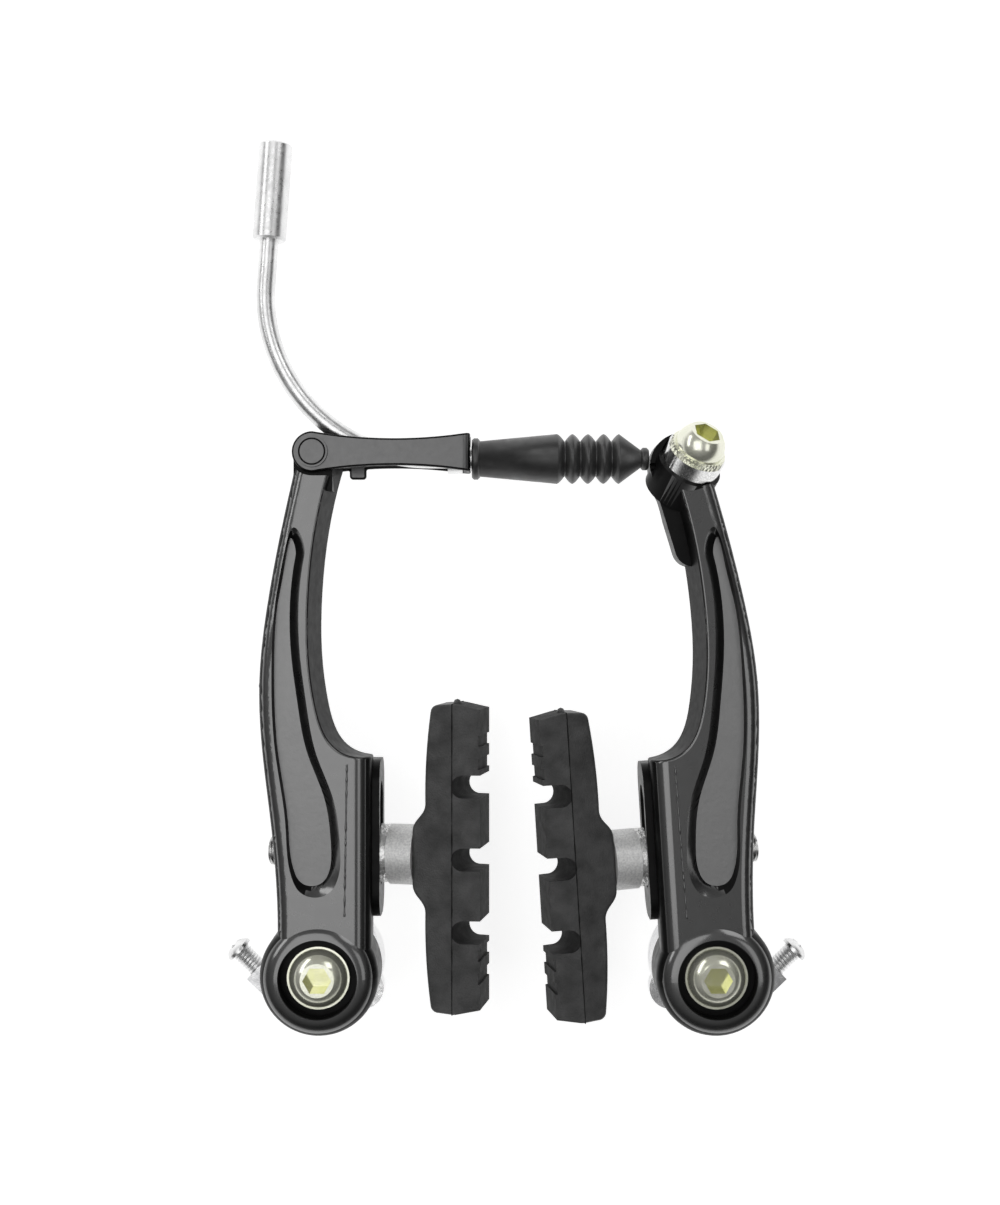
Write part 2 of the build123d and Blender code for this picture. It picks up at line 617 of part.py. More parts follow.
def cable_boot():
    """A rubber sleeve with bellows, drawn along Z from the link's wall."""
    length = BOOT_FLANGE + BOOT_BODY
    outline = [Polyline((NOZZLE_R, 0), (BOOT_FLANGE_R, 0), (BOOT_FLANGE_R, BOOT_FLANGE),
                        (BOOT_NECK_R, BOOT_FLANGE), (BOOT_BODY_R, length))]
    for index in range(BOOT_RINGS):
        start = (BOOT_BODY_R, length)
        valley = (BOOT_VALLEY_R, length + BOOT_PITCH / 2)
        length += BOOT_PITCH
        outline.append(ThreePointArc(start, valley, (BOOT_BODY_R, length)))
    bellows = length
    tip = bellows + BOOT_CONE
    end = tip + BOOT_TIP
    bore = LINER_R + RUNNING_GAP
    nose = NOZZLE_REACH + LINK_SHEET
    hollow = BOOT_VALLEY_R - BOOT_WALL
    cone = [(BOOT_BODY_R, bellows), (BOOT_CONE_R, tip), (BOOT_TIP_R, tip), (BOOT_TIP_R, end)]
    inside = [(bore, end), (bore, tip), (hollow, bellows), (hollow, nose), (NOZZLE_R, nose), (NOZZLE_R, 0)]
    outline.append(Polyline(*cone, *inside))
    return along(turned(*outline), (WALL_X + BOOT_GAP, -CABLE_FORWARD, CABLE_Z), (1, 0, 0))


# Pads and ball washers, drawn about the ball centre with the stud along x
def facing(solid, direction=1):
    """Turn a solid that is drawn along Z to look along x, inward or outward."""
    return along(solid, (0, 0, 0), (direction, 0, 0))


def ball_dome():
    """A washer with a flat back on the arm and a ball-shaped face."""
    def height(radius):
        return sqrt(BALL_R**2 - radius**2)
    middle = (DOME_R + DOME_HOLE_R) / 2
    back = SEAT_WALL / 2
    inner = (DOME_HOLE_R, height(DOME_HOLE_R))
    outer = (DOME_R, height(DOME_R))
    return turned(
        Polyline(inner, (DOME_HOLE_R, back), (DOME_R, back), outer),
        ThreePointArc(outer, (middle, height(middle)), inner),
    )


def ball_cup(face):
    """A washer with a hollow ball seat and a flat face."""
    def height(radius):
        return sqrt(CUP_SPHERE_R**2 - radius**2)
    hole = STUD_R + RUNNING_GAP
    middle = (CUP_R + hole) / 2
    return turned(
        ThreePointArc((hole, height(hole)), (middle, height(middle)), (CUP_R, height(CUP_R))),
        Polyline((CUP_R, height(CUP_R)), (CUP_R, face), (hole, face), (hole, height(hole))),
    )


def backing_plate():
    half_length = BACKING_LENGTH / 2
    half_depth = BACKING_DEPTH / 2
    return block((BACKING_X, -half_depth, -half_length),
                 (BACKING_X + BACKING_THICK, half_depth, half_length))


def pad_post():
    return rod(STUD_R, (-STUD_END, 0, 0), (BACKING_X, 0, 0)) + backing_plate()


def pad_side():
    """The pad seen from the front: braking face on the right, arched back with a hub."""
    half = PAD_LENGTH / 2
    seam = BRAKE_FACE - SEAM_FROM_FACE
    back = BRAKE_FACE - PAD_END_THICK
    crown = BRAKE_FACE - PAD_THICK
    root = HUB_R + HUB_SPREAD
    shoulder = crown + (back - crown) * (root / half) ** 2
    corner = half - END_SLOPE / 4
    arch = ((shoulder + back) / 2 - PAD_ARCH, (root + half) / 2)
    upper = ThreePointArc((back, corner), arch, (shoulder, root))
    lower = ThreePointArc((shoulder, -root), (arch[0], -arch[1]), (back, -corner))
    down = (0, -1)
    hub = [Spline((shoulder, root), (HUB_FACE, HUB_R), tangents=[upper % 1, down]),
           Line((HUB_FACE, HUB_R), (HUB_FACE, -HUB_R)),
           Spline((HUB_FACE, -HUB_R), (shoulder, -root), tangents=[down, lower % 0])]
    front = Polyline((back, -corner), (seam, -half), (BRAKE_FACE, END_SLOPE - half),
                     (BRAKE_FACE, half - END_SLOPE), (seam, half), (back, corner))
    side = make_face([*upper.edges(), *hub, *lower.edges(), *front.edges()])
    tips = [tip for tip in side.vertices() if tip.X < seam - PAD_CORNER and abs(tip.Y) > root]
    return fillet(tips, PAD_CORNER)


def pad_section():
    """The pad seen from above: widest at the mould seam."""
    seam = BRAKE_FACE - SEAM_FROM_FACE
    half_back = PAD_BACK_DEPTH / 2
    half_seam = PAD_DEPTH / 2
    half_face = PAD_FACE_DEPTH / 2
    near = [(HUB_FACE, half_back), (seam, half_seam), (BRAKE_FACE, half_face)]
    far = [(x, -y) for x, y in reversed(near)]
    return make_face(Polyline(*near, *far, close=True).edges())


def brake_pad():
    pad = extrude(Plane.XZ * pad_side(), amount=PAD_DEPTH, both=True)
    pad &= extrude(pad_section(), amount=PAD_LENGTH, both=True)
    seam = BRAKE_FACE - SEAM_FROM_FACE
    behind = [edge for edge in pad.edges() if edge.center().X < seam - PAD_ROUND]
    pad = fillet([edge for edge in behind if abs(edge.center().Y) > PAD_ROUND], PAD_ROUND)
    half = NOTCH_WIDTH / 2
    notch = rod(half, (0, -PAD_DEPTH, 0), (0, PAD_DEPTH, 0))
    notch += block((0, -PAD_DEPTH, -half), (2 * NOTCH_DEPTH, PAD_DEPTH, half))
    for step in (-1, 0, 1):
        floor = BRAKE_FACE - NOTCH_DEPTH + half
        pad -= Pos(floor, 0, step * NOTCH_PITCH) * Rot(0, 0, -NOTCH_LEAN) * notch
    for end in (-1, 1):
        for rib in (1, 2):
            z = end * (NOTCH_PITCH + NOTCH_WIDTH / 2 + rib * RIB_PITCH - RIB_WIDTH)
            pad -= block((BRAKE_FACE - RIB_DEPTH, -PAD_DEPTH, z - RIB_WIDTH / 2),
                         (BRAKE_FACE + 1, PAD_DEPTH, z + RIB_WIDTH / 2))
    return pad - backing_plate() - rod(STUD_R, (0, 0, 0), (BACKING_X, 0, 0))


def flat_washer():
    return facing(ring(CUP_R, STUD_R, OUTER_CUP_FACE, OUTER_CUP_FACE + FLAT_WASHER), -1)


def pad_nut():
    seat = OUTER_CUP_FACE + FLAT_WASHER
    nut = extrude(RegularPolygon(NUT_FLATS / 2, 6, major_radius=False), amount=NUT_HEIGHT)
    nut -= Cylinder(STUD_R, 3 * NUT_HEIGHT)
    return facing(Pos(0, 0, seat) * nut, -1)


def at_ball(solid, toe=PAD_TOE):
    """Set a pad piece on the arm, turned on its ball washers so that the braking face looks forward."""
    return Pos(BALL_X, -PAD_FORWARD, PAD_Z) * Rot(0, 0, -toe) * solid


def side_pieces():
    """Every piece that both sides have: name, solid, and whether it leans with the arm."""
    return [
        ("pivot_bush", pivot_bush(), False),
        ("pivot_bolt", pivot_bolt(), False),
        ("spring_holder", spring_holder(), False),
        ("return_spring", return_spring(), True),
        ("tension_screw", tension_screw(), False),
        ("inner_dome_washer", at_ball(facing(ball_dome()), 0), True),
        ("outer_dome_washer", at_ball(facing(ball_dome(), -1), 0), True),
        ("inner_cup_washer", at_ball(facing(ball_cup(INNER_CUP_FACE))), True),
        ("outer_cup_washer", at_ball(facing(ball_cup(OUTER_CUP_FACE), -1)), True),
        ("pad_post", at_ball(pad_post()), True),
        ("brake_pad", at_ball(brake_pad()), True),
        ("flat_washer", at_ball(flat_washer()), True),
        ("pad_nut", at_ball(pad_nut()), True),
    ]


def all_pieces():
    pieces = {}
    for name, solid, leans in side_pieces():
        pieces["left_" + name] = left(solid)
        pieces["right_" + name] = right(solid, RIGHT_LEAN if leans else 0)
    guide = (noodle_tube, noodle_liner, noodle_ferrule, noodle_nozzle, cable_boot)
    for make in (left_arm, noodle_link, link_rivet, *guide):
        pieces[make.__name__] = left(make())
    for make in (right_arm, anchor_washer, anchor_bolt):
        pieces[make.__name__] = right(make())
    return pieces


def main():
    os.makedirs("parts", exist_ok=True)
    for name, solid in all_pieces().items():
        export_step(solid, os.path.join("parts", name + ".step"))


main()
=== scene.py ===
import json
from math import cos, pi, radians, sin

import bmesh
import bpy
from mathutils import Matrix, Vector, noise


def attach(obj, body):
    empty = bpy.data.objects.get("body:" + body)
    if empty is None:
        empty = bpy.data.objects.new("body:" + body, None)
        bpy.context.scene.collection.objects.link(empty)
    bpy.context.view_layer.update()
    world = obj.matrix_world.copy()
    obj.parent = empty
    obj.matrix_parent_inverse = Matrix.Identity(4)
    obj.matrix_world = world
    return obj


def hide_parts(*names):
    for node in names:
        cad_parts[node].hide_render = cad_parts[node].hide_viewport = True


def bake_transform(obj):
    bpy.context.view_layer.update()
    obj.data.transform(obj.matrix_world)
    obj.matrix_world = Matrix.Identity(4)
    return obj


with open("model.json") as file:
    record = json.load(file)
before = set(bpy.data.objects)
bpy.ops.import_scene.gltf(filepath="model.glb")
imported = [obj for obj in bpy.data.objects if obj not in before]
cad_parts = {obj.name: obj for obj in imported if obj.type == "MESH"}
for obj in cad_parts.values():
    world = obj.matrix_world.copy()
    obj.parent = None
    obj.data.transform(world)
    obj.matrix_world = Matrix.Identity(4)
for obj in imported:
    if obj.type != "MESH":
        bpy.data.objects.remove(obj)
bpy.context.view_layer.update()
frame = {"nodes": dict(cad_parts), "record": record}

# Sizes in metres, in the frame of the solids: X to the right, Y away from the viewer, Z up.
# Pieces for both sides are made in the left arm's own frame: pivot on the origin, x inward.
MM = 0.001
PIVOT_X = 40 * MM
RIGHT_LEAN = 3.5               # degrees the right arm leans towards the left one

# Arms
ARM_FRONT = 21 * MM
FACE_ZONE = 18.5 * MM          # what lies further back than this takes the dull paint, as painted shade
POCKET_FLOOR = 19.2 * MM
POCKET_TOP = 93 * MM
BORE_R = 8 * MM
RIVET_FACE = 21.3 * MM
RIDGE_FOOT = Vector((5.4 * MM, -ARM_FRONT, 12.6 * MM))
RIDGE_HEAD = Vector((5.9 * MM, -ARM_FRONT, 43 * MM))
RIDGE_R = 0.2 * MM
RIDGE_STEPS = 120
LINK_ROLL = 0.6 * MM           # bevel on the link's edges

# Pads
BALL = Vector((8.55, -11, 23.8)) * MM
PAD_TOE = 11.0                 # degrees
BRAKE_FACE = 25.3 * MM
NOTCH_DEPTH = 6.2 * MM
PAD_SEAM = 19.7 * MM
PAD_HALF_LENGTH = 31.2 * MM
PAD_HALF_DEPTH = 5.5 * MM
SEAM_R = 0.1 * MM
SEAM_STEPS = 40                # on each of its four sides
NUB_FRONT = 1.6 * MM
NUB_BACK = 1.2 * MM
NUB_R = 0.75 * MM
NUB_STEPS = 12
MOULD_GRAIN = 1400             # waves to the metre along a ragged mould line

# Studs and tension screws
STUD_R = 3 * MM
STUD_TIP = 19.75 * MM
STUD_SHOW = 5 * MM
STUD_PLAIN = 0.4 * MM          # end left without thread
STUD_THREAD = (0.16 * MM, 1.0 * MM)     # height, pitch
SCREW_DIP = radians(44)
SCREW_REACH = 11               # millimetres from the pivot's axis
SCREW_FORWARD = 4.3            # millimetres from the mounting plane
SCREW_FOOT = Vector((-SCREW_REACH * sin(SCREW_DIP), -SCREW_FORWARD, -SCREW_REACH * cos(SCREW_DIP))) * MM
SCREW_WAY = Vector((-cos(SCREW_DIP), 0, sin(SCREW_DIP)))
SCREW_R = 1.85 * MM
SCREW_LUG = 9.5 * MM
SCREW_SHOW = 5 * MM
SCREW_THREAD = (0.22 * MM, 0.7 * MM)    # height, pitch
THREAD_ROWS = 8                # in each turn of a thread

# Return springs
SPRING_R = 8.5 * MM
SPRING_WIRE_R = 0.8 * MM
SPRING_PITCH = 1.75 * MM
SPRING_TURNS = 2.5
SPRING_STEPS = 40              # in each turn
SPRING_START = 3.4 * MM
SPRING_KNEE = 40 * MM
SPRING_TIP = Vector((-8.5, -12.3, 60)) * MM

# Bolts
SOCKET_R = 3 * MM
SOCKET_DEPTH = 3.2 * MM
PIVOT_BOLT_TOP = 22.2 * MM
ANCHOR_SEAT = Vector((-1.2, -17, 103.4)) * MM
ANCHOR_UP = radians(46)
ANCHOR_OUT = radians(22)
ANCHOR_WAY = Vector((-sin(ANCHOR_OUT),
                     -cos(ANCHOR_OUT) * cos(ANCHOR_UP),
                     cos(ANCHOR_OUT) * sin(ANCHOR_UP)))
ANCHOR_FLANGE = 3.6 * MM
ANCHOR_FLANGE_R = 5.5 * MM
ANCHOR_FLANGE_HEIGHT = 1.2 * MM
ANCHOR_BOLT_TOP = 8.6 * MM
TEETH = 40
TOOTH_ROOT = 0.3 * MM          # how far the toothed ring reaches into the flange
TOOTH_HEIGHT = 0.25 * MM
TOOTH_SHARE = 0.8              # of the flange's height

# Boot, from its collar by the link to its tip
BOOT_COLLAR = 1.6 * MM
BOOT_COLLAR_R = 4.2 * MM
BOOT_NECK_R = 3.6 * MM
BOOT_CREST_R = 5.05 * MM
BOOT_VALLEY_R = 3.5 * MM
BOOT_PITCH = 3.15 * MM
BOOT_RINGS = 4
BOOT_STEPS = 16                # in each rib
BOOT_CONE = 4.4 * MM
BOOT_CONE_R = 1.8 * MM
BOOT_TIP = 1.6 * MM
BOOT_TIP_R = 2.3 * MM
BOOT_BORE = 2.5 * MM
BOOT_CABLE_R = 1.26 * MM

# Photograph: 1000 by 1205 pixels, seen square on from close by
PIXELS_PER_MM = 4.91
PHOTO_HEIGHT = 1205 / PIXELS_PER_MM * MM
PHOTO_CENTRE = Vector((-3.5, -15, 75.4)) * MM
CAMERA_DISTANCE = 320 * MM
SENSOR = 36.0

# Room: the way its soft light fades to, and its greys from the lightest to the dimmest
ROOM_DIM_WAY = (0.2, 0.89, -0.4)
ROOM_GREYS = (0.3, 0.05)
ROOM_GREY_PLACES = (0.1, 0.4)
ROOM_WHITE_FROM = (-0.25, -0.05)   # metal and gloss see it dim up to the first Y, white from the second
SHEET_Y = 0.0125
SHEET_HALF = 3
SHEET_GREY = 0.6
SHEET_GLOW = 0.8
MIDDLE = (0, 0, 0.07)
LIGHTS = (
    # name, place, target, size, watts
    ("front_softbox", (-0.24, -1.0, 0.12), MIDDLE, (0.62, 0.78), 2.0),
    ("side_strip", (-0.7, -0.5, 0.5), MIDDLE, (0.2, 0.8), 1.2),
    ("top_panel", (0.45, -0.75, 0.6), MIDDLE, (0.4, 0.4), 0.9),
    ("right_panel", (0.5, -0.85, 0.0), (0, 0, 0.05), (0.3, 0.5), 0.5),
    ("back_lamp", (0.3, 0.9, 0.6), MIDDLE, (0.6, 0.6), 1.5),
)

LEFT = Matrix.Translation((-PIVOT_X, 0, 0))
LEAN = Matrix.Rotation(radians(-RIGHT_LEAN), 4, "Y")
FLIP = Matrix.Diagonal((-1, 1, 1, 1))
RIGHT = Matrix.Translation((PIVOT_X, 0, 0)) @ LEAN @ FLIP
RIGHT_FRAME = Matrix.Translation((PIVOT_X, 0, 0)) @ FLIP
TOE = Matrix.Translation(BALL) @ Matrix.Rotation(radians(-PAD_TOE), 4, "Z")


# Materials
def new_material(name, **values):
    """A principled material; a value's name is its socket's, with _ for a space."""
    material = bpy.data.materials.new(name)
    material.use_nodes = True
    shader = material.node_tree.nodes["Principled BSDF"]
    for socket, value in values.items():
        shader.inputs[socket.replace("_", " ")].default_value = value
    return material


def grain(material, scale, detail=3.0, stretch=(1, 1, 1)):
    """Noise fixed to the piece; scale counts grains to the metre."""
    nodes = material.node_tree.nodes
    links = material.node_tree.links
    place = nodes.new("ShaderNodeTexCoord")
    mapping = nodes.new("ShaderNodeMapping")
    mapping.inputs["Scale"].default_value = stretch
    texture = nodes.new("ShaderNodeTexNoise")
    texture.inputs["Scale"].default_value = scale
    texture.inputs["Detail"].default_value = detail
    links.new(place.outputs["Object"], mapping.inputs["Vector"])
    links.new(mapping.outputs["Vector"], texture.inputs["Vector"])
    return texture.outputs["Fac"]


def colour_by(material, factor, first, second, low=0.35, high=0.65):
    """Mix the base colour from first to second as the factor goes from low to high."""
    ramp = material.node_tree.nodes.new("ShaderNodeValToRGB")
    for element, place, colour in zip(ramp.color_ramp.elements, (low, high), (first, second)):
        element.position = place
        element.color = (*colour, 1)
    links = material.node_tree.links
    links.new(factor, ramp.inputs["Fac"])
    links.new(ramp.outputs["Color"], material.node_tree.nodes["Principled BSDF"].inputs["Base Color"])


def roughness_by(material, factor, low, high):
    spread = material.node_tree.nodes.new("ShaderNodeMapRange")
    spread.inputs["From Min"].default_value = 0.3
    spread.inputs["From Max"].default_value = 0.7
    spread.inputs["To Min"].default_value = low
    spread.inputs["To Max"].default_value = high
    links = material.node_tree.links
    links.new(factor, spread.inputs["Value"])
    links.new(spread.outputs["Result"], material.node_tree.nodes["Principled BSDF"].inputs["Roughness"])


def bump_by(material, *layers):
    """Stack bump layers of (height, depth in metres)."""
    nodes = material.node_tree.nodes
    links = material.node_tree.links
    under = None
    for height, depth in layers:
        bump = nodes.new("ShaderNodeBump")
        bump.inputs["Distance"].default_value = depth
        links.new(height, bump.inputs["Height"])
        if under:
            links.new(under, bump.inputs["Normal"])
        under = bump.outputs["Normal"]
    links.new(under, nodes["Principled BSDF"].inputs["Normal"])


def arm_paint():
    """Gloss black paint over a cast skin."""
    paint = new_material("arm_paint", Specular_IOR_Level=0.6, Coat_Weight=1.0, Coat_IOR=2.0,
                         Coat_Roughness=0.13)
    colour_by(paint, grain(paint, 160), (0.006, 0.006, 0.006), (0.01, 0.01, 0.01))
    roughness_by(paint, grain(paint, 420), 0.26, 0.34)
    bump_by(paint, (grain(paint, 260, 2), 0.00002), (grain(paint, 2100, 2), 0.000008))
    return paint


def pocket_sheen_paint():
    """The same paint over the rougher floor of an arm's pocket, in a lighter colour that is a painted
    sheen.
    """
    paint = new_material("pocket_sheen_paint", Specular_IOR_Level=1.0, Coat_Weight=1.0, Coat_IOR=2.4,
                         Coat_Roughness=0.4)
    colour_by(paint, grain(paint, 300), (0.018, 0.018, 0.018), (0.03, 0.03, 0.03))
    roughness_by(paint, grain(paint, 900, 4), 0.38, 0.5)
    bump_by(paint, (grain(paint, 1100, 3), 0.00016))
    return paint


def dull_shade_paint():
    """Black paint with its gloss taken away: painted shade on the flanks and inside the bores."""
    paint = new_material("dull_shade_paint", Specular_IOR_Level=0.1)
    colour_by(paint, grain(paint, 200), (0.005, 0.005, 0.005), (0.009, 0.009, 0.009))
    roughness_by(paint, grain(paint, 600, 3), 0.3, 0.42)
    bump_by(paint, (grain(paint, 500, 2), 0.00003))
    return paint


def link_paint():
    coat = new_material("link_paint", Specular_IOR_Level=1.0, Coat_Weight=1.0, Coat_IOR=1.7,
                        Coat_Roughness=0.35)
    colour_by(coat, grain(coat, 220), (0.014, 0.014, 0.015), (0.022, 0.022, 0.023))
    roughness_by(coat, grain(coat, 900, 4, (1, 6, 1)), 0.3, 0.42)
    bump_by(coat, (grain(coat, 3500, 2, (0.2, 1, 1)), 0.000012))
    return coat


def bright_steel():
    steel = new_material("bright_steel", Metallic=1.0)
    colour_by(steel, grain(steel, 260), (0.74, 0.74, 0.74), (0.86, 0.86, 0.86))
    roughness_by(steel, grain(steel, 1200, 4), 0.24, 0.38)
    bump_by(steel, (grain(steel, 900, 3), 0.00002))
    return steel


def yellow_zinc(name, pale, deep, rough):
    """Polished zinc with a yellow-green passivated skin."""
    zinc = new_material(name, Metallic=0.75)
    colour_by(zinc, grain(zinc, 330), pale, deep)
    roughness_by(zinc, grain(zinc, 500, 3), rough, rough + 0.08)
    bump_by(zinc, (grain(zinc, 700, 3), 0.000008))
    return zinc


def plain_steel():
    steel = new_material("plain_steel", Metallic=1.0)
    colour_by(steel, grain(steel, 400), (0.46, 0.46, 0.46), (0.62, 0.62, 0.61))
    roughness_by(steel, grain(steel, 1800, 4), 0.22, 0.38)
    bump_by(steel, (grain(steel, 2600, 3), 0.00002))
    return steel


def holder_metal():
    steel = new_material("holder_metal", Metallic=1.0)
    colour_by(steel, grain(steel, 180), (0.62, 0.62, 0.63), (0.8, 0.8, 0.8))
    roughness_by(steel, grain(steel, 700, 4), 0.14, 0.3)
    bump_by(steel, (grain(steel, 600, 3), 0.00004))
    return steel


def washer_metal(name, metallic, rough, depth, scale):
    """Silver washers: bead-blasted cups, wrinkled domes, a polished one under the cable bolt."""
    metal = new_material(name, Metallic=metallic)
    colour_by(metal, grain(metal, 2500, 4), (0.62, 0.62, 0.62), (0.84, 0.84, 0.83))
    roughness_by(metal, grain(metal, 3000, 3), rough, rough + 0.15)
    bump_by(metal, (grain(metal, scale, 4), depth))
    return metal


def rubber(name, dark, light, shine, rough, depth):
    """Moulded rubber with a bloom and a fine spark-eroded grain."""
    soft = new_material(name, Specular_IOR_Level=shine, Sheen_Weight=0.05)
    colour_by(soft, grain(soft, 240, 6), (dark, dark, dark), (light, light, light), 0.3, 0.72)
    roughness_by(soft, grain(soft, 500, 4), rough, rough + 0.16)
    bump_by(soft, (grain(soft, 320, 3), 0.00008), (grain(soft, 3200, 3), depth))
    return soft


def liner_plastic():
    plastic = new_material("liner_plastic", Subsurface_Weight=0.1)
    colour_by(plastic, grain(plastic, 300), (0.62, 0.62, 0.6), (0.72, 0.72, 0.7))
    roughness_by(plastic, grain(plastic, 900), 0.4, 0.55)
    return plastic


MATERIALS = {
    "arm_paint": arm_paint(),
    "link_paint": link_paint(),
    "bright_steel": bright_steel(),
    "yellow_zinc": yellow_zinc("yellow_zinc", (0.84, 0.85, 0.7), (0.9, 0.9, 0.78), 0.16),
    "plain_steel": plain_steel(),
    "holder_metal": holder_metal(),
    "washer_metal": washer_metal("cup_washer", 0.35, 0.34, 0.00005, 3200),
    "pad_rubber": rubber("pad_rubber", 0.028, 0.08, 0.5, 0.42, 0.00014),
    "boot_rubber": rubber("boot_rubber", 0.018, 0.028, 0.9, 0.3, 0.00001),
    "liner_plastic": liner_plastic(),
}
SOCKET_ZINC = yellow_zinc("socket_zinc", (0.74, 0.75, 0.4), (0.82, 0.82, 0.54), 0.1)
# The pocket paint's lighter colour is a painted sheen; its roughness and grain are the floor's own.
POCKET_SHEEN_PAINT = pocket_sheen_paint()
# The dull paint is painted shade: on flanks, in bores, under the link, on the link's edges and the
# rivet's rim.
SHADE_PAINT = dull_shade_paint()
FINISHES = {
    "dome_washer": washer_metal("dome_washer", 0.7, 0.14, 0.00016, 1500),
    "anchor_washer": washer_metal("anchor_washer", 1.0, 0.06, 0.00001, 600),
}
# Darker, duller rubber: painted shade on the braking face, the walls of its notches and the seam round
# each pad.
PAD_SHADE_RUBBER = rubber("pad_shade_rubber", 0.006, 0.01, 0.1, 0.6, 0.00005)


# Finishes of the solids, with painted shade and a painted sheen laid on some of their faces
def dress_solids():
    for part in frame["record"]["subparts"]:
        node = frame["nodes"][part["node"]]
        node.data.materials.clear()
        node.data.materials.append(MATERIALS[part["material_slot"]])
        for ending, finish in FINISHES.items():
            if part["node"].endswith(ending):
                node.data.materials[0] = finish


def repaint(node_name, material, chosen):
    """Give one more material to the faces whose middle is chosen."""
    node = frame["nodes"][node_name]
    index = len(node.data.materials)
    node.data.materials.append(material)
    for face in node.data.polygons:
        if chosen(face.center, face.normal):
            face.material_index = index


def in_socket(axis_point, axis, top):
    """True for points near the bolt's axis between the socket's floor and the head's top."""
    def test(point, normal):
        offset = point - axis_point
        height = offset.dot(axis)
        inside = (offset - axis * height).length < SOCKET_R
        return inside and top - SOCKET_DEPTH - MM / 5 < height < top - MM / 20
    return test


# The pocket floor takes the painted sheen.
def on_pocket_floor(point, normal):
    return normal.y < -0.95 and abs(point.y + POCKET_FLOOR) < MM / 10 and point.z < POCKET_TOP


def on_edge(point, normal):
    return abs(normal.y) < 0.7


def behind_rivet_face(point, normal):
    return point.y > -RIVET_FACE


def in_arm_shade(pivot_x):
    """True for an arm's side walls, what lies behind its face or the link, and the bolt's bore: where
    painted shade goes.
    """
    def test(point, normal):
        behind = point.y > -FACE_ZONE
        under_link = point.z > POCKET_TOP and point.y > MM - ARM_FRONT
        in_bore = Vector((point.x - pivot_x, point.z)).length < BORE_R
        return on_edge(point, normal) or behind or under_link or in_bore
    return test


def on_brake_face(place):
    """True for the braking face and the walls of its notches, which take the darker rubber as painted
    shade.
    """
    inverse = (place @ TOE).inverted()

    def test(point, normal):
        return (inverse @ point).x > BRAKE_FACE - NOTCH_DEPTH and abs(normal.y) < 0.5
    return test


def finish_solids():
    dress_solids()
    forward = Vector((0, -1, 0))
    for side, x in (("left", -PIVOT_X), ("right", PIVOT_X)):
        repaint(side + "_pivot_bolt", SOCKET_ZINC, in_socket(Vector((x, 0, 0)), forward, PIVOT_BOLT_TOP))
        # The arm's flanks, bores and the recess under the link take the dull paint as painted shade.
        repaint(side + "_arm", SHADE_PAINT, in_arm_shade(x))
    # The link's side edges take the dull paint as painted shade.
    repaint("noodle_link", SHADE_PAINT, on_edge)
    # The rivet's rim behind its face takes the dull paint as painted shade.
    repaint("link_rivet", SHADE_PAINT, behind_rivet_face)
    anchor_way = RIGHT.to_3x3() @ ANCHOR_WAY
    repaint("anchor_bolt", SOCKET_ZINC, in_socket(RIGHT @ ANCHOR_SEAT, anchor_way, ANCHOR_BOLT_TOP))
    for side, place in (("left", LEFT), ("right", RIGHT)):
        # The pocket floors take the painted sheen.
        repaint(side + "_arm", POCKET_SHEEN_PAINT, on_pocket_floor)
        # The braking faces and notch walls take the darker rubber as painted shade.
        repaint(side + "_brake_pad", PAD_SHADE_RUBBER, on_brake_face(place))


# Pieces added to the solids
def add_mesh(name, mesh, place, body, slot):
    """Link a bmesh made in the left arm's frame, put on its side, and let it ride on a body."""
    bmesh.ops.transform(mesh, matrix=place, verts=mesh.verts)
    bmesh.ops.recalc_face_normals(mesh, faces=mesh.faces)
    data = bpy.data.meshes.new(name)
    mesh.to_mesh(data)
    mesh.free()
    for face in data.polygons:
        face.use_smooth = True
    data.materials.append(MATERIALS[slot])
    piece = bpy.data.objects.new(name, data)
    bpy.context.scene.collection.objects.link(piece)
    if body:
        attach(piece, body)
    return piece


def tube(points, radii, sides=12, closed=False):
    """A round tube through points, one radius for each."""
    mesh = bmesh.new()
    rings = []
    count = len(points)
    for index, (point, radius) in enumerate(zip(points, radii)):
        after = points[(index + 1) % count] if closed else points[min(index + 1, count - 1)]
        before = points[index - 1] if closed else points[max(index - 1, 0)]
        turn = (after - before).to_track_quat("Z", "Y")
        ring = []
        for step in range(sides):
            angle = 2 * pi * step / sides
            spoke = Vector((cos(angle), sin(angle), 0)) * radius
            ring.append(mesh.verts.new(point + turn @ spoke))
        rings.append(ring)
    pairs = list(zip(rings, rings[1:]))
    if closed:
        pairs.append((rings[-1], rings[0]))
    else:
        mesh.faces.new(rings[0])
        mesh.faces.new(rings[-1])
    for first, second in pairs:
        shift = min(range(sides), key=lambda s: (first[0].co - second[s].co).length)
        for step in range(sides):
            ahead = (step + 1) % sides
            far = second[(ahead + shift) % sides], second[(step + shift) % sides]
            mesh.faces.new((first[step], first[ahead], *far))
    return mesh


def spread(start, end, count):
    return [start.lerp(end, step / (count - 1)) for step in range(count)]


def spring_path():
    """The leg from its tip behind the arm to the coil, then the coil."""
    foot = Vector((-SPRING_R, -SPRING_START, 0))
    knee = Vector((-SPRING_R, -SPRING_START, SPRING_KNEE))
    path = spread(SPRING_TIP, knee, 16)[:-1] + spread(knee, foot, 24)[:-1]
    steps = int(SPRING_TURNS * SPRING_STEPS)
    for step in range(steps + 1):
        turns = step / SPRING_STEPS
        angle = pi + 2 * pi * turns
        forward = SPRING_START + SPRING_PITCH * turns
        path.append(Vector((SPRING_R * cos(angle), -forward, SPRING_R * sin(angle))))
    return path


def add_springs():
    for side, place in (("left", LEFT), ("right", RIGHT)):
        path = spring_path()
        mesh = tube(path, [SPRING_WIRE_R] * len(path))
        spring = add_mesh(side + "_spring_wire", mesh, place, None, "plain_steel")
        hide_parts(side + "_return_spring")
        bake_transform(spring)


